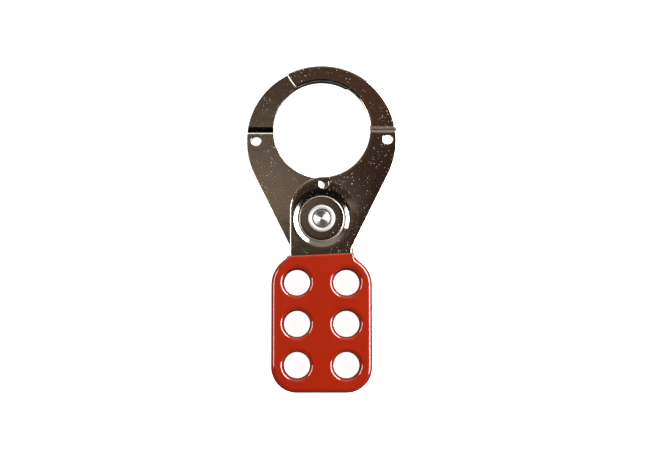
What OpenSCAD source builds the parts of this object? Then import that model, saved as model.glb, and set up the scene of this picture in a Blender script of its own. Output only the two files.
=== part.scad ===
// Lockout hasp: two identical steel stampings, one turned over, crossing at a rivet.
// Closed, the jaws ring a round opening and the dipped handles line up their padlock holes.
// Origin: centre of the jaw opening, midway through the hasp's thickness.
// +Y runs up the hasp towards the jaws' tips, +Z towards the front stamping. Millimetres.

/* [Jaws] */

// Radius of the round opening inside the closed jaws
jaw_r = 19.05; // [12.7:0.05:22]
// Radius of the jaws' outer arc
jaw_outer_r = 29.6; // [26:0.1:40]
// Distance of the outer arc's centre below the opening's centre
jaw_drop = 4.4; // [0:0.1:6]
// Angle between each straight flank and the hasp's long axis
flank_angle = 26.6; // [22:0.1:30]
// Angle of the hooked tip's inner corner around the opening, from +X
tip_angle = 121.6; // [100:0.1:135]
// Direction of the hooked tip's end face, from +X
tip_face_angle = 126.7; // [110:0.1:150]

/* [Sheet] */

// Thickness of the steel sheet
plate_t = 2.4; // [1.6:0.1:3.2]
// Gap between the two stampings where they are pressed towards each other
sheet_gap = 0.3; // [0.2:0.05:1]
// Height at which the jaws' offset bend is centred
joggle_y = -0.1; // [-4:0.1:4]
// Length of the sloping part of the offset bend
joggle_len = 2.2; // [1.5:0.1:5]

/* [Hub] */

// Distance of the pivot below the opening's centre
pivot_drop = 35.4; // [34:0.1:40]
// Radius of the arc that rounds each hub's free side
hub_r = 13.3; // [12.5:0.1:15]
// Distance of that arc's centre from the long axis, towards the stamping's own jaw
hub_x = 0.9; // [0.3:0.1:2]
// Distance of that arc's centre above the pivot
hub_lift = 3.1; // [2.5:0.1:4]
// Outer radius of the round dimple that seats the washer
dimple_r = 11.3; // [10.5:0.1:12]
// Radius of the dimple's flat floor
dimple_floor_r = 9; // [8.9:0.1:9.6]
// Radius of the small pilot holes left from stamping
pilot_r = 1.9; // [1:0.05:2.5]
// Distance of the jaw's pilot hole from the long axis
pilot_jaw_x = 25.9; // [24:0.1:27]
// Distance of the jaw's pilot hole below the opening's centre
pilot_jaw_drop = 4.2; // [3:0.1:10]
// Distance of the hub's pilot hole from the long axis
pilot_hub_x = 0.8; // [0:0.1:2]
// Distance of the hub's pilot hole above the pivot
pilot_hub_lift = 13.7; // [13.2:0.1:14]

/* [Pivot] */

// Radius of the rivet's shank
rivet_r = 3.175; // [2:0.005:3.5]
// Radial running clearance around the shank
pivot_clearance = 0.05; // [0.01:0.01:0.1]
// Radius of the flat washers
washer_r = 8.75; // [7:0.05:9]
// Thickness of the flat washers
washer_t = 1; // [0.6:0.1:1.2]
// Chamfer around the washers' faces
washer_chamfer = 0.2; // [0.1:0.05:0.3]
// Axial gap between the rear washer and the stamping that turns against it
washer_gap = 0.05; // [0.02:0.01:0.1]
// Radius of the rivet's formed front head
head_r = 5.25; // [4.5:0.05:6]
// Radius of the rolled rim's round section on the front head
rim_r = 0.72; // [0.5:0.02:0.8]
// Radius of the turned face inside the rim
face_r = 3.15; // [2:0.05:3.3]
// Height of the turned face above the washer
face_h = 1.05; // [0.8:0.05:1.2]
// Radius of the rivet's low domed rear head
rear_head_r = 5.6; // [4.5:0.05:6.5]
// Height of the domed rear head
rear_head_h = 0.95; // [0.6:0.05:1]
// Height of the straight edge around the domed rear head
rear_edge_h = 0.25; // [0.1:0.05:0.4]

/* [Handles] */

// Thickness of the dipped vinyl coating
coat_t = 1; // [0.8:0.1:1.2]
// Gap between the two coated handles
handle_gap = 0.4; // [0.3:0.05:1]
// Half the width of a coated handle
handle_half_w = 19.6; // [18:0.05:24]
// Distance below the opening's centre at which a coated handle's sides start to curve in
shoulder_drop = 61.4; // [60:0.1:64]
// Distance of a coated handle's end below the opening's centre
handle_end = 103.1; // [98:0.1:115]
// Corner radius at the handle's end, over the coating
end_corner_r = 10; // [6:0.1:12]
// Corner radius of the shoulder below the hub's free side, over the coating
free_shoulder_r = 12; // [10:0.1:13]
// Corner radius of the shoulder below the jaw's side, over the coating
jaw_shoulder_r = 11; // [9:0.1:12]
// Rounding of the coated handle's edges
coat_round = 0.9; // [0.4:0.05:1]
// Distance of the neck's free edge from the long axis
neck_free = 12.4; // [11.5:0.1:13]
// Distance of the neck's other edge, below the flank, from the long axis
neck_jaw = 11.8; // [10.5:0.1:12]
// Radius in the bare neck's two inside corners
neck_fillet = 3; // [2:0.1:4]
// Distance of the dip line below the opening's centre, at the long axis
dip_drop = 49.4; // [48:0.1:52]
// Slope of the dip line across the neck, in degrees
dip_slope = 2.7; // [-4:0.1:4]
// Length over which the coating thins down to the dip line
dip_taper = 1.1; // [0.5:0.1:2]

/* [Padlock holes] */

// Radius of the padlock holes through the coating
hole_r = 5.1; // [4:0.05:5.5]
// Rounding of the coating at the mouths of the padlock holes
hole_lip = 0.9; // [0.5:0.05:1]
// Number of rows of padlock holes
hole_rows = 3; // [1:1:3]
// Distance between rows of padlock holes
row_pitch = 16.1; // [14:0.1:17]
// Distance between the two columns of padlock holes
col_pitch = 19.3; // [16:0.1:21]
// Distance of the lowest row above the handle's end
last_row = 10.6; // [9:0.1:12]

/* [Hidden] */

$fn = 96;
over = 1;                                     // how far a cutting solid runs past a face
lap = 0.5;                                    // how far joined outlines overlap
lip_lift = 0.02;                              // keeps a rounded mouth from meeting a face at a tangent

z_in = handle_gap / 2 + coat_t;               // a stamping's inner face at the handle
z_out = z_in + plate_t;                       // and its outer face
press = z_in - sheet_gap / 2;                 // how far the jaw and the dimple are pressed in
floor_in = z_in - press;                      // inner face of the dimple's floor
floor_out = z_out - press;                    // and its outer face
coat_in = handle_gap / 2;                     // the coating's inner face
coat_h = plate_t + 2 * coat_t;                // thickness of a coated handle

pivot_y = -pivot_drop;
hub_y = pivot_y + hub_lift;                               // centre of the hub's free arc
apex_y = -jaw_drop - jaw_outer_r / sin(flank_angle);      // where the two flanks would meet
flank_end_y = apex_y + neck_jaw / tan(flank_angle);       // where a flank turns into the neck
touch_x = jaw_outer_r * cos(flank_angle);                 // where a flank leaves the outer arc
touch_y = -jaw_drop - jaw_outer_r * sin(flank_angle);
reach = 2 * jaw_outer_r;                                  // past the outer arc on every side
below = apex_y - handle_end;                              // past the handle's end
tip_in = jaw_r * [cos(tip_angle), sin(tip_angle)];        // the tip's inner corner
tip_dir = [cos(tip_face_angle), sin(tip_face_angle)];

dimple_run = dimple_r - dimple_floor_r;
bend = plate_t * tan(atan(press / dimple_run) / 2);       // how much wider the dimple is behind

shaft_hole_r = rivet_r + pivot_clearance;
head_base = floor_out + washer_t;                         // underside of the front head
rear_washer_z = -floor_out - washer_gap - washer_t;       // and of the rear head
rim_x = head_r - rim_r;
dome_h = rear_head_h - rear_edge_h;
dome_r = (rear_head_r * rear_head_r + dome_h * dome_h) / (2 * dome_h);

last_row_y = -handle_end + last_row;
shoulder_y = -shoulder_drop;
dip_y = -dip_drop;
mouth_z = coat_h - hole_lip + lip_lift;                   // where a mouth's rounding starts
mouth_r = hole_r + hole_lip - sqrt(pow(hole_lip, 2) - pow(hole_lip - lip_lift, 2));

// ---- outlines of one stamping, the one whose jaw is on +X ----

// Keeps the jaw's own half of the ring, and the hooked part over the top up to the tip's face.
module jaw_side_2d() {
    translate([0, -reach]) square([reach, 2 * reach]);
    polygon([[0, 0], [lap, 0], [lap, reach], tip_in + reach * tip_dir, tip_in - over * tip_dir]);
}

// Fills the inside corner between the neck's edge at x and a shoulder of radius r about (cx, cy),
// on the +X side for side 1 and on the -X side for side -1.
module neck_corner_2d(side, x, cx, cy, r, fillet) {
    c = [x + fillet, cy + sqrt(pow(r + fillet, 2) - pow(x + fillet - cx, 2))];
    touch = [cx, cy] + (c - [cx, cy]) * r / (r + fillet);
    corners = [c, [x - lap, c[1]], [x - lap, touch[1] - lap], touch];
    difference() {
        polygon([for (i = [0 : 3]) let (p = corners[side > 0 ? i : 3 - i]) [side * p[0], p[1]]]);
        translate([side * c[0], c[1]]) circle(fillet);
    }
}

// The handle's outline, inset from the coating's surface, with its neck carried up to neck_top.
module handle_2d(inset, neck_top) {
    half = handle_half_w - inset;
    end = -handle_end + inset;
    r_end = end_corner_r - inset;
    r_free = free_shoulder_r - inset;
    r_jaw = jaw_shoulder_r - inset;
    grow = coat_t - inset;
    fillet = neck_fillet - grow;
    union() {
        for (s = [-1, 1]) translate([s * (half - r_end), end + r_end]) circle(r_end);
        translate([-half + r_end, end]) square([2 * (half - r_end), r_end]);
        translate([-half, end + r_end]) square([2 * half, shoulder_y - end - r_end]);
        translate([r_free - half, shoulder_y]) circle(r_free);
        translate([half - r_jaw, shoulder_y]) circle(r_jaw);
        translate([-neck_free - grow, shoulder_y - lap])
            square([neck_free + neck_jaw + 2 * grow, neck_top - shoulder_y + lap]);
        neck_corner_2d(1, neck_jaw + grow, half - r_jaw, shoulder_y, r_jaw, fillet);
        neck_corner_2d(-1, neck_free + grow, half - r_free, shoulder_y, r_free, fillet);
    }
}

// Centres of the padlock holes.
module at_padlock_holes() {
    for (s = [-1, 1], row = [0 : hole_rows - 1])
        translate([s * col_pitch / 2, last_row_y + row * row_pitch]) children();
}

module blank_2d() {
    intersection() {
        translate([0, -jaw_drop]) circle(jaw_outer_r);
        jaw_side_2d();
    }
    polygon([[0, -jaw_drop], [0, flank_end_y - lap], [neck_jaw, flank_end_y - lap],
             [neck_jaw, flank_end_y], [touch_x, touch_y]]);
    intersection() {
        translate([hub_x, hub_y]) circle(hub_r);
        translate([-reach, hub_y - hub_r]) square([reach + lap, 2 * hub_r]);
    }
    translate([-neck_free, flank_end_y - lap])
        square([neck_free + lap, hub_y - flank_end_y + lap]);
    handle_2d(coat_t, flank_end_y);
}

module stamped_2d() {
    difference() {
        blank_2d();
        circle(jaw_r);
        translate([pilot_jaw_x, -pilot_jaw_drop]) circle(pilot_r);
        translate([pilot_hub_x, pivot_y + pilot_hub_lift]) circle(pilot_r);
        translate([0, pivot_y]) circle(shaft_hole_r);
        at_padlock_holes() circle(hole_r + coat_t);
    }
}

// ---- one stamping ----

// Side view of the sheet: flat from the handle to the jaw, then stepped in along the jaw.
module sheet_side_2d() {
    start = joggle_y - joggle_len / 2;
    stop = joggle_y + joggle_len / 2;
    polygon([[below, z_in], [start, z_in], [stop, floor_in], [reach, floor_in],
             [reach, floor_out], [stop, floor_out], [start, z_out], [below, z_out]]);
}

module stamping() {
    difference() {
        intersection() {
            linear_extrude(z_out + over) stamped_2d();
            union() {
                rotate([90, 0, 90])
                    translate([0, 0, -reach]) linear_extrude(2 * reach) sheet_side_2d();
                translate([0, pivot_y, floor_in])
                    cylinder(h = press, r1 = dimple_floor_r + bend, r2 = dimple_r + bend);
            }
        }
        translate([0, pivot_y, floor_out])
            cylinder(h = press, r1 = dimple_floor_r, r2 = dimple_r);
    }
}

// ---- one coating ----

// Half section of a slab of a coated handle's thickness, with its far edge rounded.
module edge_2d(w) {
    square([w - coat_round, coat_h]);
    translate([0, coat_round]) square([w, coat_h - 2 * coat_round]);
    for (z = [coat_round, coat_h - coat_round]) translate([w - coat_round, z]) circle(coat_round);
}

// A straight run of that section along +Y.
module edge_run(w, len) {
    translate([0, len, 0]) rotate([90, 0, 0]) linear_extrude(len) edge_2d(w);
}

// A quarter turn of it.
module edge_corner(r) {
    rotate_extrude(angle = 90) edge_2d(r);
}

module coated_slab() {
    half = handle_half_w;
    low = -handle_end + end_corner_r;
    end_x = half - end_corner_r;
    translate([0, low, 0]) edge_run(half, shoulder_y - low);
    translate([0, low, 0]) mirror([1, 0, 0]) edge_run(half, shoulder_y - low);
    // the handle's end
    translate([-end_x, low, 0]) rotate([0, 0, -90]) edge_run(end_corner_r, 2 * end_x);
    translate([end_x, low, 0]) rotate([0, 0, -90]) edge_corner(end_corner_r);
    translate([-end_x, low, 0]) rotate([0, 0, 180]) edge_corner(end_corner_r);
    // the shoulders
    translate([half - jaw_shoulder_r, shoulder_y, 0]) edge_corner(jaw_shoulder_r);
    translate([free_shoulder_r - half, shoulder_y, 0])
        rotate([0, 0, 90]) edge_corner(free_shoulder_r);
}

module coated_neck() {
    len = dip_y + over + neck_free * tan(abs(dip_slope)) - shoulder_y;
    translate([0, shoulder_y, 0]) edge_run(neck_jaw + coat_t, len);
    translate([0, shoulder_y, 0]) mirror([1, 0, 0]) edge_run(neck_free + coat_t, len);
    translate([0, 0, coat_round / 2]) linear_extrude(coat_h - coat_round)
        handle_2d(0, dip_y);
}

// Removes everything above the dip line, and thins both faces down towards it.
module dip_cut() {
    size = 2 * handle_half_w;
    taper = atan((coat_t - coat_round / 4) / dip_taper);
    translate([0, dip_y, 0]) rotate([0, 0, dip_slope]) {
        translate([-size / 2, 0, -over]) cube([size, size, coat_h + 2 * over]);
        for (face = [0, 1]) translate([0, 0, face * coat_h]) mirror([0, 0, face])
            translate([0, -dip_taper, 0]) rotate([taper, 0, 0])
                translate([-size / 2, 0, -size]) cube([size, size, size]);
    }
}

// Clears one padlock hole and rounds both of its mouths.
module padlock_cut() {
    translate([0, 0, -over]) cylinder(h = coat_h + 2 * over, r = hole_r);
    for (face = [0, 1]) translate([0, 0, face * coat_h]) mirror([0, 0, 1 - face])
        translate([0, 0, -coat_h]) rotate_extrude() difference() {
            translate([0, mouth_z]) square([mouth_r, coat_h - mouth_z + over]);
            translate([hole_r + hole_lip, mouth_z]) circle(hole_lip);
        }
}

module coating() {
    translate([0, 0, coat_in]) difference() {
        union() {
            coated_slab();
            coated_neck();
        }
        dip_cut();
        translate([0, 0, coat_t]) linear_extrude(plate_t) difference() {
            handle_2d(coat_t, 0);
            at_padlock_holes() circle(hole_r + coat_t);
        }
        at_padlock_holes() padlock_cut();
    }
}

// ---- pivot ----

module washer() {
    rotate_extrude() difference() {
        translate([shaft_hole_r, 0]) square([washer_r - shaft_hole_r, washer_t]);
        for (z = [0, washer_t]) translate([washer_r, z])
            rotate(45) square(washer_chamfer * sqrt(2), center = true);
    }
}

module rivet() {
    // shank
    translate([0, 0, rear_washer_z]) cylinder(h = head_base - rear_washer_z, r = rivet_r);
    // front head: a rolled rim around a sunken groove and a turned face
    translate([0, 0, head_base]) rotate_extrude() {
        square([rim_x - rim_r / 3, rim_r]);
        translate([rim_x, rim_r]) circle(rim_r);
        square([face_r, face_h]);
    }
    // rear head
    translate([0, 0, rear_washer_z - rear_head_h]) rotate_extrude() intersection() {
        square([rear_head_r, rear_head_h]);
        translate([0, dome_r]) circle(dome_r, $fn = 200);
    }
}

// ---- nodes ----

module turned_over() {
    rotate([0, 180, 0]) children();
}

module front_jaw_plate() { color([0.55, 0.52, 0.48]) stamping(); }

module rear_jaw_plate() { color([0.5, 0.47, 0.44]) turned_over() stamping(); }

module front_handle_coating() { color([0.72, 0.1, 0.06]) coating(); }

module rear_handle_coating() { color([0.66, 0.08, 0.05]) turned_over() coating(); }

module pivot_rivet() { color([0.78, 0.78, 0.77]) translate([0, pivot_y, 0]) rivet(); }

module front_washer() {
    color([0.62, 0.6, 0.57]) translate([0, pivot_y, floor_out]) washer();
}

module rear_washer() {
    color([0.6, 0.58, 0.55]) translate([0, pivot_y, rear_washer_z]) washer();
}

front_jaw_plate();
rear_jaw_plate();
front_handle_coating();
rear_handle_coating();
pivot_rivet();
front_washer();
rear_washer();
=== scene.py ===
import math

import bpy
import numpy as np
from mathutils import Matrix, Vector, geometry


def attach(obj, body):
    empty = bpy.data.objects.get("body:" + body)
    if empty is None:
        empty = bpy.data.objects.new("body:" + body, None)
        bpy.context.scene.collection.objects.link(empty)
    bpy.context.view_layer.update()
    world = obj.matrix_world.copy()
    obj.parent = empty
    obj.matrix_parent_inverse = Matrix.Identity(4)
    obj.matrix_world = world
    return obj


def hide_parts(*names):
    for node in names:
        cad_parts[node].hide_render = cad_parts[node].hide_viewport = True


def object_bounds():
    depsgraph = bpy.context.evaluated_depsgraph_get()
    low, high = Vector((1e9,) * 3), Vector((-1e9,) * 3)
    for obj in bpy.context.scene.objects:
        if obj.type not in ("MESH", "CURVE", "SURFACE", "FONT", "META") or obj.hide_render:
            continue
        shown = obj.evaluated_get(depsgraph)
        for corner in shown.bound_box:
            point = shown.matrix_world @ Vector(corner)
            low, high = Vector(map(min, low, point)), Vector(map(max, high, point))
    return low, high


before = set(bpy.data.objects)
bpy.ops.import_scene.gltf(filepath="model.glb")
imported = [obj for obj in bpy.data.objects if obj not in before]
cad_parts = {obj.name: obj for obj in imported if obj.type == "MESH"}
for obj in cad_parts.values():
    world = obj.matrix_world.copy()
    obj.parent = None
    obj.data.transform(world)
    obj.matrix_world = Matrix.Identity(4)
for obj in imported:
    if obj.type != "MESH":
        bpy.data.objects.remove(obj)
cad_low, cad_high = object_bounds()

MM = 0.001
BODY = {"front": "front_half", "rear": "rear_half"}

# The hasp lies flat with its front up: X to the right, Y along it towards the jaws, Z up, and the
# origin at the centre of the jaw opening. The front half is drawn, and the rear half is the same
# half turned over about Y.

# ---------------------------------------------------------------- sizes, in millimetres
# the jaw: its opening, its outer edge, and the two cut corners of its tip
JAW_R, OUTER_R, OUTER_Y = 19.05, 29.6, -4.4
TIP_A, TIP_DIR = math.radians(121.6), math.radians(126.7)
TIP_OUT_R, TIP_IN_R = 1.3, 1.0
# the straight flank, the soft bend where it meets the neck, and where both flanks would cross
FLANK, KNEE_R = math.radians(26.6), 2.5
APEX_Y = OUTER_Y - OUTER_R / math.sin(FLANK)
# the sheet's inner and outer faces, and how deep the joggle and the dimple are pressed
Z_IN, Z_OUT, PRESS = 1.2, 3.6, 1.05
JOG_0, JOG_1, JOG_BEND = -1.2, 1.0, 0.7
# the hub round the pivot, and the point between it and the opening
PIVOT = np.array([0.0, -35.4])
HUB_C, HUB_R, POINT_R = np.array([0.9, -32.3]), 13.3, 1.2
# the dimple in front, how much wider it is behind, and the faint dish on its jaw side
DIMPLE_R, DIMPLE_FLOOR_R, DIMPLE_BEND, DIMPLE_BACK = 11.3, 9.0, 1.3, 0.52
DISH_R, DISH_FLOOR_R, DISH_BEND, DISH_DEPTH = 14.8, 10.8, 2.0, 0.18
DISH_FROM, DISH_TO = 1.0, 8.0  # it deepens over these distances up from the pivot
SHAFT_HOLE_R, PILOT_R = 3.225, 1.9
PILOTS = [(25.9, -4.2), (0.8, -21.7)]
# the handle and its neck
HALF_W, SHOULDER_Y, END_Y = 19.6, -61.4, -103.1
END_R, FREE_R, JAW_SIDE_R = 10.0, 12.0, 11.0
NECK_FREE, NECK_JAW, NECK_FILLET = 12.4, 11.8, 3.0
# the vinyl: its thickness, its faces, its dip line and the padlock holes
COAT_T, COAT_IN, COAT_OUT = 1.0, 0.2, 4.6
DIP_Y, DIP_SLOPE, DIP_CORNER_R = -49.4, math.radians(2.7), 0.9
HOLE_R = 5.1
HOLES = [(s * 9.65, y) for s in (-1, 1) for y in (-60.3, -76.4, -92.5)]
# roundings of the sheet's front edges as (width, drop), and the radii left at its back
OUTLINE_ROLL, SHAFT_ROLL, PILOT_ROLL, HOLE_ROLL = (1.15, 0.42), (0.3, 0.15), (0.45, 0.2), (0.2, 0.1)
BACK_R, PILOT_BACK_R = 0.12, 0.22
# widest rounding of the vinyl's edges, and how it grows to that from the dip line down
COAT_ROLL_W = 1.8
LIP_W, LIP_W_GAIN, LIP_H_GAIN, LIP_START, LIP_RUN = 1.1, 0.7, 0.8, 0.5, 4.5
# washers and rivet
WASHER_R, WASHER_BORE_R, WASHER_T = 8.75, 3.28, 1.0
WASHER_FRONT_Z, WASHER_REAR_Z = 2.55, -3.6
SHANK_R, HEAD_SEAT_Z, HEAD_FACE_Z = 3.175, 3.55, 4.6
TAIL_SEAT_Z, TAIL_Z, TAIL_R, TAIL_DOME = -3.6, -4.55, 5.6, 0.7

# where the sheet has vertices for its bends: these radii round the pivot, and along each joggle
# bend up to JOG_GUIDE before and after it, from the first to the last of JOG_X on both sides
DIMPLE_GUIDES = (8.1, 8.35, 8.7, 9.0, 9.3, 9.65, 9.95, 10.2, 10.65, 10.95,
                 11.3, 11.6, 11.95, 12.25, 12.5, 13.0, 13.6, 14.2, 14.8, 15.4)
JOG_GUIDE = 0.36
JOG_X = np.linspace(18.0, 30.5, 22)


# ---------------------------------------------------------------- plane curves
def arc(c, r, a0, a1, step=0.45):
    """Points on an arc from angle a0 to a1, in radians, without its last point."""
    n = max(4, int(math.ceil(abs(a1 - a0) * r / step)))
    t = a0 + (a1 - a0) * np.arange(n) / n
    return np.c_[c[0] + r * np.cos(t), c[1] + r * np.sin(t)]


def line(p, q, step=1.5):
    """Points on a line from p to q, without q."""
    p, q = np.array(p, float), np.array(q, float)
    n = max(1, int(math.ceil(np.linalg.norm(q - p) / step)))
    return p + (q - p) * (np.arange(n) / n)[:, None]


def ang(p, c):
    return math.atan2(p[1] - c[1], p[0] - c[0])


def circle_circle(c0, r0, c1, r1, side):
    """Where two circles cross, to the left of the way from c0 to c1 if side is 1, else right."""
    c0, c1 = np.array(c0, float), np.array(c1, float)
    d = c1 - c0
    dist = np.linalg.norm(d)
    a = (r0 * r0 - r1 * r1 + dist * dist) / (2 * dist)
    h = math.sqrt(max(r0 * r0 - a * a, 0))
    d /= dist
    return c0 + a * d + side * h * np.array([-d[1], d[0]])


def circle_line(c, r, p, d):
    """Where the line through p along d leaves a circle."""
    c, p, d = (np.array(v, float) for v in (c, p, d))
    d /= np.linalg.norm(d)
    along = (c - p) @ d
    foot = p + along * d
    h = math.sqrt(max(r * r - (foot - c) @ (foot - c), 0))
    return foot + h * d


def up_to(a0, a1, ccw):
    """a1 moved by whole turns so that the arc from a0 runs the asked way."""
    while ccw and a1 < a0:
        a1 += 2 * math.pi
    while not ccw and a1 > a0:
        a1 -= 2 * math.pi
    return a1


def arc_between(c, r, p, q, ccw, step=0.45):
    """Points on the arc about c from p to q, without q."""
    a0 = ang(p, c)
    return arc(c, r, a0, up_to(a0, ang(q, c), ccw), step)


def handle_run(inset):
    """The handle's outline, counter-clockwise from the neck's free side round to the jaw's side.

    Returns its points, the start on the neck's free edge and the end on its other edge. An inset of
    0 is the outside of the vinyl, and one of COAT_T the edge of the sheet in it.
    """
    grow = COAT_T - inset
    half, end = HALF_W - inset, END_Y + inset
    re, rf, rj, fil = END_R - inset, FREE_R - inset, JAW_SIDE_R - inset, NECK_FILLET - grow
    free_c, jaw_c = (rf - half, SHOULDER_Y), (half - rj, SHOULDER_Y)
    xf, xj = -(NECK_FREE + grow), NECK_JAW + grow
    # centres of the neck's fillets, which touch the shoulders at ft and jt
    fc = np.array([xf - fil, free_c[1] + math.sqrt((rf + fil) ** 2 - (xf - fil - free_c[0]) ** 2)])
    jc = np.array([xj + fil, jaw_c[1] + math.sqrt((rj + fil) ** 2 - (xj + fil - jaw_c[0]) ** 2)])
    ft = np.array(free_c) + (fc - free_c) * rf / (rf + fil)
    jt = np.array(jaw_c) + (jc - jaw_c) * rj / (rj + fil)
    start, stop = np.array([xf, fc[1]]), np.array([xj, jc[1]])
    pts = [
        arc_between(fc, fil, start, ft, False, 0.3),
        arc_between(free_c, rf, ft, (-half, free_c[1]), True),
        line((-half, free_c[1]), (-half, end + re)),
        arc((-half + re, end + re), re, math.pi, 1.5 * math.pi),
        line((-half + re, end), (half - re, end)),
        arc((half - re, end + re), re, -0.5 * math.pi, 0.0),
        line((half, end + re), (half, jaw_c[1])),
        arc_between(jaw_c, rj, (half, jaw_c[1]), jt, True),
        arc_between(jc, fil, jt, stop, False, 0.3),
    ]
    return np.vstack(pts), start, stop


def plate_outline():
    """The stamping's outline, counter-clockwise from the free side of the neck."""
    run, start, stop = handle_run(COAT_T)
    # flank and neck meet in a soft bend
    flank_dir = np.array([math.sin(FLANK), math.cos(FLANK)])
    knee = np.array([NECK_JAW, APEX_Y + NECK_JAW / math.tan(FLANK)])
    cut = KNEE_R * math.tan(FLANK / 2)
    k0, k1 = knee - (0, cut), knee + flank_dir * cut
    kc = k0 + (KNEE_R, 0)
    touch = np.array([OUTER_R * math.cos(FLANK), OUTER_Y - OUTER_R * math.sin(FLANK)])
    # the hooked tip, with rounded corners
    tip = JAW_R * np.array([math.cos(TIP_A), math.sin(TIP_A)])
    d = np.array([math.cos(TIP_DIR), math.sin(TIP_DIR)])
    into = np.array([d[1], -d[0]])  # from the tip's face into the jaw
    r_out, r_in = TIP_OUT_R, TIP_IN_R
    oc = circle_line((0, OUTER_Y), OUTER_R - r_out, tip + into * r_out, d)
    ic = circle_line((0, 0), JAW_R + r_in, tip + into * r_in, d)
    out_a = np.array([0, OUTER_Y]) + (oc - (0, OUTER_Y)) * OUTER_R / (OUTER_R - r_out)
    out_b, in_a = oc - into * r_out, ic - into * r_in
    in_b = ic * JAW_R / (JAW_R + r_in)
    # the point between the opening and the hub
    pc = circle_circle((0, 0), JAW_R + POINT_R, HUB_C, HUB_R - POINT_R, -1)
    pt_a = pc * JAW_R / (JAW_R + POINT_R)
    pt_b = HUB_C + (pc - HUB_C) * HUB_R / (HUB_R - POINT_R)
    side = np.array([-NECK_FREE, HUB_C[1]])
    return np.vstack([
        run,
        line(stop, k0),
        arc_between(kc, KNEE_R, k0, k1, False, 0.3),
        line(k1, touch),
        arc_between((0, OUTER_Y), OUTER_R, touch, out_a, True, 0.6),
        arc_between(oc, r_out, out_a, out_b, True, 0.2),
        line(out_b, in_a),
        arc_between(ic, r_in, in_a, in_b, True, 0.2),
        arc_between((0, 0), JAW_R, in_b, pt_a, False, 0.5),
        arc_between(pc, POINT_R, pt_a, pt_b, True, 0.2),
        arc_between(HUB_C, HUB_R, pt_b, side, True),
        line(side, start),
    ])


def coat_outline():
    """The vinyl's outline, and the stretch of its dip line that the sheet comes out of."""
    run, start, stop = handle_run(0.0)
    t, r = math.tan(DIP_SLOPE), DIP_CORNER_R
    n = np.array([-math.sin(DIP_SLOPE), math.cos(DIP_SLOPE)])
    # corner arcs touch the neck's edges and the dip line
    cr, cl = (np.array([x, DIP_Y + t * x - r / math.cos(DIP_SLOPE)])
              for x in (stop[0] - r, start[0] + r))
    ends = [np.array([x, DIP_Y + t * x]) for x in (NECK_JAW, -NECK_FREE)]
    dip = np.vstack([line(ends[0], ends[1], 0.6), ends[1]])
    return np.vstack([
        run,
        line(stop, cr + (r, 0), 0.5),
        arc(cr, r, 0, math.pi / 2 + DIP_SLOPE, 0.15),
        [cr + r * n],
        dip,
        arc(cl, r, math.pi / 2 + DIP_SLOPE, math.pi, 0.15),
        line(cl - (r, 0), start, 0.5),
    ]), dip


def hole_loop(c, r, n=72):
    """A circle of n points, clockwise."""
    return arc(c, r, 0, -2 * math.pi, 2 * math.pi * r / n)


def edge_normals(p):
    """Unit normals pointing out of the material, and the mitre that keeps an offset even."""
    a = p - np.roll(p, 1, 0)
    b = np.roll(p, -1, 0) - p
    a /= np.linalg.norm(a, axis=1)[:, None]
    b /= np.linalg.norm(b, axis=1)[:, None]
    na, nb = np.c_[a[:, 1], -a[:, 0]], np.c_[b[:, 1], -b[:, 0]]
    n = na + nb
    n /= np.linalg.norm(n, axis=1)[:, None]
    return n, 1 / np.maximum((n * na).sum(1), 0.5)


def inside(p, loop):
    """Even-odd test of many points against one loop."""
    a, b = loop, np.roll(loop, -1, 0)
    out = np.zeros(len(p), bool)
    for (x0, y0), (x1, y1) in zip(a, b):
        if y0 == y1:
            continue
        hit = (p[:, 1] < y0) != (p[:, 1] < y1)
        x = x0 + (p[:, 1] - y0) * (x1 - x0) / (y1 - y0)
        out ^= hit & (p[:, 0] < x)
    return out


# ---------------------------------------------------------------- sheet bodies
ROUND_STEPS = (14, 27, 40, 54, 70, 90)  # degrees round an edge's quarter section
ON_EDGE, EDGE_ZONE = 2e-4, 0.03  # mm: this near it is on an edge, or takes the edge's own normal


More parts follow.
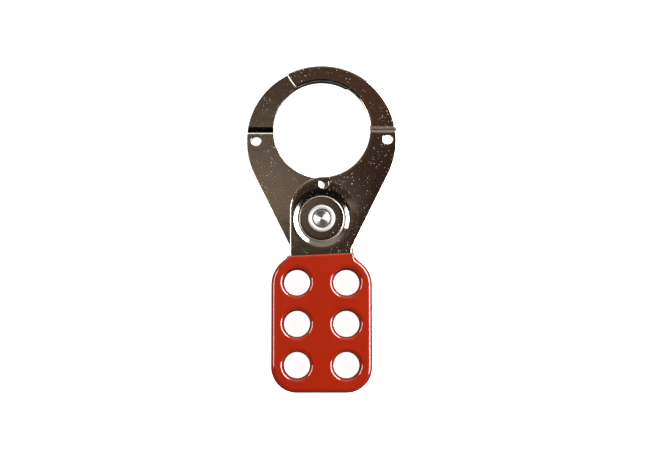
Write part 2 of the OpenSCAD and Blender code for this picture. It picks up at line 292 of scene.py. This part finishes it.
class Region:
    """A triangulated plane region, with each point's distance and direction to the nearest edge.

    loops: the outline counter-clockwise, then the holes clockwise, each with the widest rounding
    it carries. guides: polylines that carry vertices where a height function bends.
    """

    def __init__(self, loops, widths, guides=()):
        verts, edges = [], []

        def add(poly, closed):
            base, n = len(verts), len(poly)
            verts.extend(map(tuple, poly))
            edges.extend((base + i, base + (i + 1) % n) for i in range(n if closed else n - 1))

        normals = []
        for p, width in zip(loops, widths):
            n, m = edge_normals(p)
            normals.append(n)
            add(p, True)
            for k in ROUND_STEPS if width else ():
                add(p - n * (m * width * (1 - math.cos(math.radians(k))))[:, None], True)
        for g, closed in guides:
            add(g, closed)
        co, _, faces, *_ = geometry.delaunay_2d_cdt([Vector(v) for v in verts], edges, [], 0, 1e-5)
        xy = np.array([(v.x, v.y) for v in co], float)
        tri = np.array([f for f in faces if len(f) == 3])
        a, b, c = xy[tri[:, 0]], xy[tri[:, 1]], xy[tri[:, 2]]
        ab, ac = b - a, c - a
        area = ab[:, 0] * ac[:, 1] - ab[:, 1] * ac[:, 0]
        mid = (a + b + c) / 3
        good = inside(mid, loops[0]) & (np.abs(area) > 1e-9)
        for h in loops[1:]:
            good &= ~inside(mid, h)
        tri = tri[good]
        tri[area[good] < 0] = tri[area[good] < 0][:, ::-1]
        used = np.unique(tri)
        back = np.full(len(xy), -1)
        back[used] = np.arange(len(used))
        self.xy, self.tri = xy[used], back[tri]
        pairs = np.vstack([self.tri[:, [0, 1]], self.tri[:, [1, 2]], self.tri[:, [2, 0]]])
        seen = {(int(a), int(b)) for a, b in pairs}
        self.rim = sorted(e for e in seen if (e[1], e[0]) not in seen)
        self.near(loops, normals)

    def near(self, loops, normals):
        """Sets each point's distance to the nearest edge, the way out across it, and its loop."""
        p = np.vstack(loops)
        q = np.vstack([np.roll(lp, -1, 0) for lp in loops])
        n0 = np.vstack(normals)
        n1 = np.vstack([np.roll(n, -1, 0) for n in normals])
        owner = np.concatenate([np.full(len(lp), i) for i, lp in enumerate(loops)])
        d = q - p
        dd = (d * d).sum(1)
        self.dist = np.zeros(len(self.xy))
        self.out = np.zeros((len(self.xy), 2))
        self.loop = np.zeros(len(self.xy), int)
        for first in range(0, len(self.xy), 2000):
            part = slice(first, first + 2000)
            x = self.xy[part]
            rel = x[:, None, :] - p[None]
            t = np.clip((rel * d[None]).sum(2) / dd, 0, 1)
            off = rel - t[:, :, None] * d[None]
            gap = (off * off).sum(2)
            j = gap.argmin(1)
            i = np.arange(len(x))
            dist = np.sqrt(gap[i, j])
            away = -off[i, j] / np.maximum(dist, 1e-9)[:, None]
            edge = n0[j] * (1 - t[i, j])[:, None] + n1[j] * t[i, j][:, None]
            edge /= np.linalg.norm(edge, axis=1)[:, None]
            self.dist[part] = np.where(dist < ON_EDGE, 0, dist)
            self.out[part] = np.where((dist > EDGE_ZONE)[:, None], away, edge)
            self.loop[part] = owner[j]

    def face(self, height, grad, w, h, sign):
        """Heights and normals of one face, rounded over w and down by h at the edges.

        sign is 1 for a face that looks up and -1 for one that looks down.
        """
        c = np.clip(1 - self.dist / np.maximum(w, 1e-6), 0, 1)
        s = np.sqrt(np.maximum(1 - c * c, 1e-5))
        z = height - sign * np.where(self.dist < w, h * (1 - np.sqrt(np.maximum(1 - c * c, 0))), 0)
        slope = np.where(self.dist < w, h / np.maximum(w, 1e-6) * c / s, 0)
        n = np.c_[-sign * grad + self.out * slope[:, None], np.ones(len(z))]
        rim = self.dist == 0
        n[rim] = np.c_[self.out[rim], np.zeros(rim.sum())]
        n[:, 2] *= sign
        return z, n / np.linalg.norm(n, axis=1)[:, None]


def shell(region, top, bottom, walls=None, over=False, inward=False):
    """Points, normals and faces of a body between two faces of one region.

    walls: the edges that get a wall, or None for the whole rim. over turns the body over about Y,
    and inward turns its faces in, for the lining of a hollow.
    """
    n = len(region.xy)
    pos = np.vstack([np.c_[region.xy, top[0]], np.c_[region.xy, bottom[0]]])
    nor = np.vstack([top[1], bottom[1]])
    faces = [tuple(t) for t in region.tri] + [tuple(t[::-1] + n) for t in region.tri]
    faces += [(b, a, a + n, b + n) for a, b in (region.rim if walls is None else walls)]
    if inward:
        faces, nor = [f[::-1] for f in faces], -nor
    if over:
        turn = np.array([-1.0, 1.0, -1.0])
        pos, nor = pos * turn, nor * turn
    return pos, nor, faces


def add_object(name, verts, faces, smooth=True):
    me = bpy.data.meshes.new(name)
    me.from_pydata(verts, [], faces)
    me.polygons.foreach_set("use_smooth", [smooth] * len(me.polygons))
    me.update()
    ob = bpy.data.objects.new(name, me)
    bpy.context.scene.collection.objects.link(ob)
    return ob


def to_object(name, *parts):
    """Joins parts, welds points that coincide and keeps the given normals."""
    base, pos, nor, faces = 0, [], [], []
    for p, nm, fs in parts:
        pos.append(p)
        nor.append(nm)
        faces += [tuple(int(i) + base for i in f) for f in fs]
        base += len(p)
    pos, nor = np.vstack(pos), np.vstack(nor)
    _, first, back = np.unique(np.round(pos, 4), axis=0, return_index=True, return_inverse=True)
    back = back.ravel()
    ob = add_object(name, [tuple(p * MM) for p in pos[first]],
                    [tuple(int(back[i]) for i in f) for f in faces])
    ob.data.normals_split_custom_set([tuple(nor[i]) for f in faces for i in f])
    return ob


def soft_ramp(t, t0, t1, w):
    """0 before t0 and 1 after t1, straight between, with bends of width w. Also its slope."""
    m = 1 / (t1 - t0)

    def soft(u):
        v = np.clip(u + w / 2, 0, w)
        return np.where(u > w / 2, u, v * v / (2 * w)), np.clip(v / w, 0, 1)

    (a, da), (b, db) = soft(t - t0), soft(t - t1)
    return m * (a - b), m * (da - db)


def pressed(xy, behind):
    """How far the sheet's front or, with behind, its back is pressed in, and the gradient of that.

    The joggle and the dimple are in both faces, and the faint dish round the dimple in the front.
    """
    wider = DIMPLE_BACK if behind else 0
    v, g = soft_ramp(xy[:, 1], JOG_0, JOG_1, JOG_BEND)
    rel = xy - PIVOT
    r = np.maximum(np.hypot(rel[:, 0], rel[:, 1]), 1e-6)
    w, h = soft_ramp(-r, -(DIMPLE_R + wider), -(DIMPLE_FLOOR_R + wider), DIMPLE_BEND)
    grad = np.c_[np.zeros(len(xy)), g] - (h / r)[:, None] * rel
    if not behind:
        d, k = soft_ramp(-r, -DISH_R, -DISH_FLOOR_R, DISH_BEND)
        above, slope = soft_ramp(rel[:, 1], DISH_FROM, DISH_TO, DISH_BEND)
        w = w + DISH_DEPTH * d * above
        grad = grad - DISH_DEPTH * (k * above / r)[:, None] * rel
        grad[:, 1] += DISH_DEPTH * d * slope
    return PRESS * (v + w), PRESS * grad


def plate(name, over):
    """One steel stamping."""
    loops = [plate_outline(), hole_loop(PIVOT, SHAFT_HOLE_R, 64)]
    loops += [hole_loop(p, PILOT_R, 56) for p in PILOTS]
    loops += [hole_loop(h, HOLE_R + COAT_T, 64) for h in HOLES]
    guides = [(hole_loop(PIVOT, r, 110), True) for r in DIMPLE_GUIDES]
    for bend in (JOG_0, JOG_1):
        for y in np.linspace(bend - JOG_GUIDE, bend + JOG_GUIDE, 6):
            for side in (-1, 1):
                guides.append((np.c_[side * JOG_X, np.full(len(JOG_X), y)], False))
    rolls = [OUTLINE_ROLL, SHAFT_ROLL] + [PILOT_ROLL] * len(PILOTS) + [HOLE_ROLL] * len(HOLES)
    reg = Region(loops, [w for w, _ in rolls], guides)
    w, h = np.array(rolls)[reg.loop].T
    down, grad = pressed(reg.xy, behind=False)
    top = reg.face(Z_OUT - down, -grad, w, h, 1)
    down, grad = pressed(reg.xy, behind=True)
    back_r = np.where((reg.loop == 2) | (reg.loop == 3), PILOT_BACK_R, BACK_R)
    bottom = reg.face(Z_IN - down, -grad, back_r, back_r, -1)
    return to_object(name, shell(reg, top, bottom, over=over))


def coating(name, over):
    """The vinyl on one handle: an outer skin, and the hollow that the sheet fills."""
    outline, dip = coat_outline()
    loops = [outline] + [hole_loop(h, HOLE_R) for h in HOLES]
    reg = Region(loops, [COAT_ROLL_W] * len(loops))
    flat = np.zeros((len(reg.xy), 2))
    below = DIP_Y + math.tan(DIP_SLOPE) * reg.xy[:, 0] - reg.xy[:, 1]
    k = np.clip((below - LIP_START) / LIP_RUN, 0, 1)
    k = k * k * (3 - 2 * k)
    w, h = LIP_W + LIP_W_GAIN * k, COAT_T + LIP_H_GAIN * k
    top = reg.face(np.full(len(w), COAT_OUT), flat, w, h, 1)
    bottom = reg.face(np.full(len(w), COAT_IN), flat, w, h, -1)
    lo, hi = dip[-1][0] - 1e-3, dip[0][0] + 1e-3

    def mouth(r, e):
        """The stretch of the dip line that the sheet passes through."""
        return all(abs(r.xy[i, 1] - DIP_Y - math.tan(DIP_SLOPE) * r.xy[i, 0]) < 1e-3
                   and lo <= r.xy[i, 0] <= hi for i in e)

    outer = shell(reg, top, bottom, [e for e in reg.rim if not mouth(reg, e)], over)
    run, start, stop = handle_run(COAT_T)
    loops = [np.vstack([run, line(stop, dip[0]), dip, line(dip[-1], start)[1:]])]
    loops += [hole_loop(h, HOLE_R + COAT_T, 64) for h in HOLES]
    reg = Region(loops, [0] * len(loops))
    up, side = np.zeros((len(reg.xy), 3)), np.zeros(len(reg.xy))
    up[:, 2] = 1
    inner = shell(reg, (side + Z_OUT, up), (side + Z_IN, -up),
                  [e for e in reg.rim if not mouth(reg, e)], over, inward=True)
    return to_object(name, outer, inner)


def lathe(name, profile, n=120):
    """A closed body turned about the pivot from (radius, height) pairs, from the top down."""
    c, s = np.cos(2 * math.pi * np.arange(n) / n), np.sin(2 * math.pi * np.arange(n) / n)
    verts, rows = [], []
    for r, z in profile:
        if r < 1e-6:
            rows.append([len(verts)] * n)
            verts.append((0, PIVOT[1] * MM, z * MM))
        else:
            rows.append(list(range(len(verts), len(verts) + n)))
            verts += [(r * c[i] * MM, (PIVOT[1] + r * s[i]) * MM, z * MM) for i in range(n)]
    pairs = list(zip(rows, rows[1:]))
    if profile[0][0] > 1e-6:  # a ring closes on itself, a body on its axis
        pairs.append((rows[-1], rows[0]))
    faces = []
    for a, b in pairs:
        for i in range(n):
            j = (i + 1) % n
            f = [a[i], b[i], b[j], a[j]]
            faces.append([v for k, v in enumerate(f) if v != f[k - 1]])
    return add_object(name, verts, faces)


def bow(cr, cz, r, a0, a1, n):
    """Points of a round section about (cr, cz), angles in degrees."""
    return [(cr + r * math.cos(math.radians(a)), cz + r * math.sin(math.radians(a)))
            for a in np.linspace(a0, a1, n)]


def washer(name, z0):
    """A flat washer from z0 up, its upper outer edge well rounded and the others just broken."""
    z1, soft, sharp = z0 + WASHER_T, 0.3, 0.12
    bore = WASHER_BORE_R + sharp
    pts = bow(bore, z1 - sharp, sharp, 180, 90, 4)
    pts += [(5.0, z1), (7.5, z1)]
    pts += bow(WASHER_R - soft, z1 - soft, soft, 90, 0, 7)
    pts += bow(WASHER_R - sharp, z0 + sharp, sharp, 0, -90, 4)
    pts += bow(bore, z0 + sharp, sharp, -90, -180, 4)
    # points within 0.02 mm of the bore are moved onto it
    return lathe(name, [(r if r - WASHER_BORE_R > 0.02 else WASHER_BORE_R, z) for r, z in pts])


def rivet():
    """A semi-tubular rivet: turned face, groove and rolled rim in front, a low dome behind."""
    seat, face = HEAD_SEAT_Z, HEAD_FACE_Z
    pts = [(0, face - 0.05), (0.25, face - 0.04), (0.45, face), (1.4, face), (2.9, face)]
    pts += bow(3.1, face - 0.15, 0.15, 90, 10, 6)
    pts += bow(3.47, 4.36, 0.17, 190, 300, 6) + [(3.64, 4.19), (3.68, 4.2)]
    pts += bow(4.47, 4.208, 0.78, 166, -55, 24)
    pts += [(4.86, seat + 0.02), (3.3, seat), (SHANK_R, seat - 0.1)]
    pts += [(SHANK_R, 0.5), (SHANK_R, -0.5), (SHANK_R, TAIL_SEAT_Z + 0.1), (3.3, TAIL_SEAT_Z)]
    pts += [(5.3, TAIL_SEAT_Z)] + bow(5.45, TAIL_SEAT_Z - 0.15, 0.15, 90, 0, 4)
    dome_r = (TAIL_R ** 2 + TAIL_DOME ** 2) / (2 * TAIL_DOME)
    zc = TAIL_Z + dome_r
    pts += [(r, zc - math.sqrt(dome_r ** 2 - r * r))
            for r in (5.57, 5.4, 5.1, 4.6, 3.9, 3.0, 2.0, 1.0)]
    return lathe("rivet_turned", pts + [(0, TAIL_Z)])


# ---------------------------------------------------------------- materials
def node(tree, kind, inputs=None, **props):
    """A shader node; an input is either another node's socket or a value."""
    n = tree.nodes.new("ShaderNode" + kind)
    for k, v in props.items():
        setattr(n, k, v)
    for k, v in (inputs or {}).items():
        if isinstance(v, bpy.types.NodeSocket):
            tree.links.new(v, n.inputs[k])
        else:
            n.inputs[k].default_value = v
    return n


def math_node(tree, op, a, b=0.0, c=0.0, clamp=False):
    return node(tree, "Math", {0: a, 1: b, 2: c}, operation=op, use_clamp=clamp).outputs[0]


def fade(tree, value, start, stop, top=1.0):
    """0 where value is before start and top where it is past stop, straight between."""
    return node(tree, "MapRange", {0: value, 1: start, 2: stop, 3: 0.0, 4: top}).outputs[0]


def near_line(tree, value, at, half, core, top):
    """top where value is within core of at, fading to 0 at half."""
    off = math_node(tree, "ABSOLUTE", math_node(tree, "SUBTRACT", value, at))
    return fade(tree, off, half, core, top)


def ramp(tree, fac, *stops):
    """A colour ramp from (position, grey or colour) pairs."""
    n = node(tree, "ValToRGB", {0: fac})
    e = n.color_ramp.elements
    while len(e) < len(stops):
        e.new(0.5)
    for el, (at, c) in zip(e, stops):
        el.position = at
        el.color = (c, c, c, 1) if isinstance(c, float) else (*c, 1)
    return n.outputs[0]


def material(name):
    m = bpy.data.materials.new(name)
    m.use_nodes = True
    m.node_tree.nodes.clear()
    return m, m.node_tree


def surface(tree, inputs):
    shader = node(tree, "BsdfPrincipled", inputs)
    node(tree, "OutputMaterial", {0: shader.outputs[0]})


def coords(tree, scale=(1, 1, 1), turn=0.0, move=(0, 0, 0)):
    """Object coordinates in millimetres, turned about Z and then times scale."""
    tc = node(tree, "TexCoord")
    turned_by = node(tree, "Mapping", {0: tc.outputs["Object"], 2: (0, 0, turn)})
    return node(tree, "Mapping", {0: turned_by.outputs[0], 1: move,
                                  3: tuple(s / MM for s in scale)}).outputs[0]


def noise(tree, vec, scale, detail=2.0, rough=0.5):
    return node(tree, "TexNoise", {"Vector": vec, "Scale": scale, "Detail": detail,
                                   "Roughness": rough}).outputs[0]


def mix_color(tree, fac, a, b):
    """Colour a where fac is 0 and b where it is 1; each is a socket or a plain colour."""
    n = node(tree, "Mix", {0: fac}, data_type="RGBA")
    for i, v in ((6, a), (7, b)):
        if isinstance(v, bpy.types.NodeSocket):
            tree.links.new(v, n.inputs[i])
        else:
            n.inputs[i].default_value = (*v, 1)
    return n.outputs[2]


def tilt_mask(tree, start, stop):
    """0 where the normal's upright share is over start, and 1 where it is under stop."""
    z = node(tree, "SeparateXYZ", {0: node(tree, "NewGeometry").outputs["Normal"]}).outputs[2]
    return fade(tree, math_node(tree, "ABSOLUTE", z), start, stop)


def specks(tree, vec, scale, share, size):
    """Small round marks of varied size: about share of the cells carry one."""
    cells = node(tree, "TexVoronoi", {"Vector": vec, "Scale": scale})
    pick = node(tree, "SeparateColor", {0: cells.outputs["Color"]})
    keep = math_node(tree, "LESS_THAN", pick.outputs[0], share)
    big = math_node(tree, "MULTIPLY", math_node(tree, "POWER", pick.outputs[1], 2.0), size)
    reach = math_node(tree, "ADD", big, size * 0.35)
    edge = math_node(tree, "SUBTRACT", reach, cells.outputs["Distance"])
    dot = math_node(tree, "MULTIPLY", edge, 25.0, clamp=True)
    return math_node(tree, "MULTIPLY", dot, keep)


def nickel(name, joggle_highlight_line, joggle_shade_line, rim, seed):
    """Bright nickel plate on rolled steel: pinholes, handling marks, painted highlights and shade.

    The highlight and shade lines run along the joggle, as (y, half width, strength): a painted
    highlight on its bend and a painted shade band. rim is how strong the painted highlight on the
    rolled edges is; the cut walls get painted shade.
    """
    m, t = material(name)
    vec = coords(t, move=(seed, 0, 0))
    cloud = noise(t, vec, 0.06, 3.0, 0.55)
    fine = noise(t, vec, 1.1, 4.0, 0.6)

    # pinholes that gather in patches, and hair scratches in four directions
    coarse, small = specks(t, vec, 1.1, 0.36, 0.16), specks(t, vec, 2.4, 0.22, 0.26)
    marks = math_node(t, "MAXIMUM", coarse, small)
    gather = ramp(t, noise(t, vec, 0.12), (0.42, 0.25), (0.62, 1.0))
    marks = math_node(t, "MULTIPLY", marks, gather)
    for i, (turn, limit) in enumerate(((0.6, 0.79), (-0.45, 0.795), (1.4, 0.79), (2.4, 0.795))):
        v = coords(t, (0.4, 4.5, 1.0), turn=turn, move=(13.0 * i + seed, 7.0, 0))
        hair = ramp(t, noise(t, v, 1.0, 1.0, 0.4), (limit, 0.0), (limit + 0.03, 0.55))
        marks = math_node(t, "MAXIMUM", marks, hair)

    # painted highlight on the joggle's bend and a painted shade band along it, in patches
    y = node(t, "SeparateXYZ", {0: coords(t)}).outputs[1]
    patchy = ramp(t, noise(t, vec, 0.7), (0.25, 0.6), (0.5, 1.0))
    joggle_highlight, joggle_shade = (
        math_node(t, "MULTIPLY", near_line(t, y, at, half, half * 0.4, strength), patchy)
        for at, half, strength in (joggle_highlight_line, joggle_shade_line))

    # painted shade on the cut walls, and a painted highlight on the rolled edges above them
    cut = tilt_mask(t, 0.5, 0.3)
    above_wall = math_node(t, "SUBTRACT", 1.0, tilt_mask(t, 0.6, 0.45))
    edge = math_node(t, "MULTIPLY", tilt_mask(t, 0.85, 0.76), above_wall)
    broken = ramp(t, noise(t, vec, 0.22), (0.38, 0.3), (0.58, 1.0))
    edge = math_node(t, "MULTIPLY", edge, math_node(t, "MULTIPLY", broken, rim))

    clouded = ramp(t, cloud, (0.35, 0.0), (0.65, 1.0))
    colour = mix_color(t, clouded, (0.66, 0.6, 0.53), (0.6, 0.54, 0.47))
    grain = ramp(t, noise(t, vec, 1.9, 3.0, 0.75), (0.35, 0.0), (0.68, 0.45))
    colour = mix_color(t, grain, colour, (0.46, 0.41, 0.37))
    colour = mix_color(t, math_node(t, "MULTIPLY", marks, 0.85), colour, (0.9, 0.88, 0.84))
    # painted highlight: pale colour on the joggle's bend and on the rolled edges
    colour = mix_color(t, math_node(t, "MAXIMUM", joggle_highlight, edge), colour, (0.9, 0.83, 0.73))
    # painted shade: a dark band along the joggle
    colour = mix_color(t, joggle_shade, colour, (0.12, 0.09, 0.07))
    # painted shade on the cut walls: a dark streaked colour
    streak = noise(t, coords(t, (0.5, 0.5, 9.0), move=(seed, 0, 0)), 1.0, 3.0, 0.6)
    wall_shade = mix_color(t, streak, (0.09, 0.07, 0.055), (0.18, 0.15, 0.12))
    colour = mix_color(t, cut, colour, wall_shade)

    roughness = ramp(t, fine, (0.3, 0.07), (0.7, 0.11))
    for mask, gain in ((marks, 0.35), (joggle_highlight, 0.3), (cut, 0.3)):
        roughness = math_node(t, "MULTIPLY_ADD", mask, gain, roughness, clamp=True)
    wave = math_node(t, "MULTIPLY", noise(t, vec, 0.11), 0.5)
    height = math_node(t, "MULTIPLY_ADD", fine, 0.02, wave)
    height = math_node(t, "MULTIPLY_ADD", marks, -0.04, height)
    bump = node(t, "Bump", {"Strength": 0.35, "Distance": 0.0002, "Height": height})
    # less metallic where the marks are and where the highlights are painted
    wear_and_highlight = math_node(t, "MAXIMUM", math_node(t, "MAXIMUM", marks, joggle_highlight), edge)
    metal = math_node(t, "MULTIPLY_ADD", wear_and_highlight, -0.65, 1.0)
    surface(t, {"Base Color": colour, "Metallic": metal, "Roughness": roughness,
                "Normal": bump.outputs[0]})
    return m


def vinyl(name, seed):
    """Glossy dipped vinyl: soft waves from the dip, painted shade down its edges, faint scuffs."""
    m, t = material(name)
    vec = coords(t, move=(0, seed, 0))
    cloud = ramp(t, noise(t, vec, 0.05), (0.3, 0.0), (0.7, 1.0))
    fine = noise(t, vec, 5.0, 3.0, 0.6)
    scuff_vec = coords(t, (0.35, 3.0, 1.0), turn=0.9, move=(seed, 3.0, 0))
    scuff = ramp(t, noise(t, scuff_vec, 1.0), (0.7, 0.0), (0.76, 1.0))
    scuff = math_node(t, "MAXIMUM", scuff, specks(t, vec, 0.45, 0.25, 0.08))
    colour = mix_color(t, cloud, (0.275, 0.0135, 0.0027), (0.25, 0.012, 0.0024))
    colour = mix_color(t, math_node(t, "MULTIPLY", scuff, 0.14), colour, (0.7, 0.18, 0.1))
    # painted shade: darker red where the surface turns steep, down the edges and the hole walls
    colour = mix_color(t, tilt_mask(t, 0.75, 0.25), colour, (0.12, 0.004, 0.0015))
    roughness = ramp(t, fine, (0.3, 0.09), (0.7, 0.13))
    roughness = math_node(t, "MULTIPLY_ADD", scuff, 0.14, roughness)
    height = math_node(t, "MULTIPLY_ADD", fine, 0.012, noise(t, vec, 0.3))
    bump = node(t, "Bump", {"Strength": 0.16, "Distance": 0.0002, "Height": height})
    surface(t, {"Base Color": colour, "Roughness": roughness, "Normal": bump.outputs[0], "IOR": 1.5,
                "Coat Weight": 0.8, "Coat Roughness": 0.06, "Coat IOR": 1.6})
    return m


def turned(name, base, rough, face_r, rim_r, wear_highlight_by, seed):
    """Turned metal with satin edges, partly wear and partly painted highlight, small dents and
    dirt, by distance from the pivot.

    Inside face_r it is grooved round and round with a radial sheen. Where there is a rim, it is
    satin and carries a painted highlight from rim_r outwards, with painted shade in the groove
    between the two.
    """
    m, t = material(name)
    vec = coords(t, move=(0, -PIVOT[1], 0))
    xyz = node(t, "SeparateXYZ", {0: vec})
    xy = node(t, "CombineXYZ", {0: xyz.outputs[0], 1: xyz.outputs[1], 2: 0.0})
    radius = node(t, "VectorMath", {0: xy.outputs[0]}, operation="LENGTH").outputs[1]
    along = node(t, "CombineXYZ", {0: radius, 1: seed, 2: 0.0}).outputs[0]
    grooves = noise(t, along, 4.0, 3.0, 0.6)
    inner = fade(t, radius, face_r, face_r - 0.1)
    dirt = noise(t, vec, 1.6, 4.0, 0.6)
    spots = specks(t, vec, 0.9, 0.3, 0.14)
    # paler, less metallic satin edges: partly wear, partly a painted highlight that keeps them
    # bright all round
    wear_and_highlight = tilt_mask(t, 0.97, 0.8)
    if rim_r:
        wear_and_highlight = math_node(t, "MAXIMUM", wear_and_highlight, fade(t, radius, rim_r, rim_r + 0.2))
    wear_and_highlight = math_node(t, "MULTIPLY", wear_and_highlight, wear_highlight_by)

    dirty = ramp(t, dirt, (0.45, 0.0), (0.75, 1.0))
    colour = mix_color(t, dirty, base, tuple(c * 0.7 for c in base))
    groove = math_node(t, "MULTIPLY", ramp(t, grooves, (0.45, 0.0), (0.6, 0.5)), inner)
    colour = mix_color(t, groove, colour, tuple(c * 0.45 for c in base))
    colour = mix_color(t, math_node(t, "MULTIPLY", spots, 0.6), colour, (0.9, 0.88, 0.85))
    # painted highlight and wear: pale colour on the satin edges and the rim
    colour = mix_color(t, wear_and_highlight, colour, (0.66, 0.65, 0.62))
    if rim_r:
        # painted shade: a dark ring in the groove between the turned face and the rim
        half = (rim_r - face_r) / 2
        seat = near_line(t, radius, (face_r + rim_r) / 2, half, half * 0.5, 0.85)
        colour = mix_color(t, seat, colour, (0.09, 0.085, 0.08))

    roughness = ramp(t, dirt, (0.3, rough * 0.85), (0.75, rough * 1.5))
    roughness = math_node(t, "MULTIPLY_ADD", inner, 0.34, roughness, clamp=True)
    roughness = math_node(t, "MULTIPLY_ADD", wear_and_highlight, 0.2, roughness, clamp=True)
    height = math_node(t, "MULTIPLY_ADD", dirt, 0.3, math_node(t, "MULTIPLY", grooves, inner))
    bump = node(t, "Bump", {"Strength": 1.0, "Distance": 0.000012, "Height": height})
    metal = math_node(t, "MULTIPLY_ADD", math_node(t, "MAXIMUM", spots, wear_and_highlight), -0.6, 1.0)
    around = node(t, "Tangent", direction_type="RADIAL", axis="Z")
    surface(t, {"Base Color": colour, "Metallic": metal, "Roughness": roughness,
                "Normal": bump.outputs[0], "Anisotropic": math_node(t, "MULTIPLY", inner, 0.95),
                "Anisotropic Rotation": 0.25, "Tangent": around.outputs[0]})
    return m


# ---------------------------------------------------------------- the hasp
# each plate's painted highlight and painted shade lines along its joggle, and how strong the
# painted highlight on its rolled edges is
steel_front = nickel("nickel_front", (-1.3, 0.6, 0.15), (-0.3, 0.5, 0.75), 0.7, 0.0)
steel_rear = nickel("nickel_rear", (-1.15, 0.3, 0.95), (0.0, 0.9, 0.8), 0.25, 41.0)
red_front = vinyl("vinyl_front", 0.0)
red_rear = vinyl("vinyl_rear", 57.0)
# the second-last value sets the wear and painted highlight on the satin edges
rivet_metal = turned("rivet_zinc", (0.82, 0.82, 0.81), 0.14, 3.15, 3.85, 1.0, 3.0)
# a washer has no grooved face, so its face_r lies inside its bore
washer_metal = turned("washer_nickel", (0.6, 0.53, 0.47), 0.1, 0.5, None, 0.9, 9.0)

for piece, body, cad, slot, mat in (
    (plate("front_plate", False), "front", "front_jaw_plate", "nickel_sheet", steel_front),
    (plate("rear_plate", True), "rear", "rear_jaw_plate", "nickel_sheet", steel_rear),
    (coating("front_grip", False), "front", "front_handle_coating", "red_vinyl", red_front),
    (coating("rear_grip", True), "rear", "rear_handle_coating", "red_vinyl", red_rear),
    (rivet(), "front", "pivot_rivet", "rivet_metal", rivet_metal),
    (washer("washer_front", WASHER_FRONT_Z), "front", "front_washer", "washer_metal", washer_metal),
    (washer("washer_rear", WASHER_REAR_Z), "front", "rear_washer", "washer_metal", washer_metal),
):
    piece.data.materials.append(mat)
    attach(piece, BODY[body])
    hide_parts(cad)


# ---------------------------------------------------------------- floor, light and camera
FLOOR_HALF = 12.0
AIM = (0, -0.04, 0)
CAM_AT, CAM_TILT, CAM_LENS, CAM_SHIFT_Y = (0.00032, -0.08647, 0.5), math.radians(4.0), 71.4, 0.043


def floor():
    """A pale paper floor, lit a little from within so that it stays even and near white."""
    corners = ((-1, -1), (1, -1), (1, 1), (-1, 1))
    ob = add_object("floor", [(x * FLOOR_HALF, y * FLOOR_HALF, cad_low[2]) for x, y in corners],
                    [(0, 1, 2, 3)], smooth=False)
    m, t = material("floor_paper")
    grain = noise(t, coords(t), 0.02)
    surface(t, {"Base Color": mix_color(t, grain, (0.9, 0.9, 0.9), (0.88, 0.88, 0.88)),
                "Roughness": 0.8, "Emission Color": (1, 1, 1, 1), "Emission Strength": 0.93})
    ob.data.materials.append(m)
    ob.visible_diffuse = ob.visible_glossy = False


def softbox(name, at, size, radiance):
    """A soft light that looks at the hasp; size is across and up."""
    data = bpy.data.lights.new(name, "AREA")
    data.shape = "RECTANGLE"
    data.size, data.size_y = size
    data.energy = radiance * math.pi * size[0] * size[1]
    ob = bpy.data.objects.new(name, data)
    ob.location = at
    ob.rotation_mode = "QUATERNION"
    ob.rotation_quaternion = (Vector(AIM) - Vector(at)).to_track_quat("-Z", "Y")
    bpy.context.scene.collection.objects.link(ob)
    return ob


def room():
    """The dark warm room that the metal reflects, coloured by direction.

    Overhead it goes from pale on the left to dark on the right, and is more even a little further
    away. The far side is paler, the near side is dark, and a pale band runs all round low down.
    """
    world = bpy.data.worlds.new("room")
    bpy.context.scene.world = world
    world.use_nodes = True
    t = world.node_tree
    d = node(t, "SeparateXYZ", {0: node(t, "TexCoord").outputs["Generated"]})
    right, away, upward = d.outputs
    across = math_node(t, "MULTIPLY_ADD", right, 5.0, 0.5, clamp=True)
    low = ramp(t, across, (0.0, (0.1, 0.085, 0.06)), (0.27, (0.3, 0.25, 0.2)),
               (0.44, (0.2, 0.165, 0.135)), (0.56, (0.09, 0.066, 0.052)),
               (0.7, (0.03, 0.018, 0.013)))
    high = ramp(t, across, (0.3, (0.085, 0.066, 0.05)), (0.5, (0.1, 0.05, 0.03)),
                (0.75, (0.1, 0.055, 0.036)))
    colour = mix_color(t, fade(t, away, 0.13, 0.2), low, high)
    for start, stop, tone in (
        (0.45, 0.7, (0.34, 0.31, 0.26)),
        (0.1, 0.084, (0.06, 0.038, 0.027)),
        (0.02, -0.06, (0.01, 0.009, 0.009)),
    ):
        colour = mix_color(t, fade(t, away, start, stop), colour, tone)
    band = ramp(t, upward, (0.0, 0.0), (0.02, 1.0), (0.12, 1.0), (0.3, 0.0))
    colour = mix_color(t, band, colour, (0.5, 0.47, 0.43))
    t.links.new(colour, t.nodes["Background"].inputs[0])


def camera():
    data = bpy.data.cameras.new("camera")
    data.sensor_width, data.lens, data.shift_y = 36.0, CAM_LENS, CAM_SHIFT_Y
    data.clip_start, data.clip_end = 0.01, 20
    ob = bpy.data.objects.new("camera", data)
    ob.location = CAM_AT
    ob.rotation_euler = (CAM_TILT, 0, 0)
    bpy.context.scene.collection.objects.link(ob)
    bpy.context.scene.camera = ob


floor()
softbox("near_fill", (-0.12, -0.4, 0.3), (0.4, 0.3), 1.6).visible_glossy = False
softbox("right_light", (0.28, 0.05, 0.22), (0.5, 0.17), 14.0)
softbox("left_light", (-0.2, -0.02, 0.15), (0.16, 0.09), 7.5)
softbox("far_light", (0.0, 0.6, 0.15), (0.7, 0.12), 1.2)
room()
camera()
bpy.context.scene.view_settings.view_transform = "Standard"
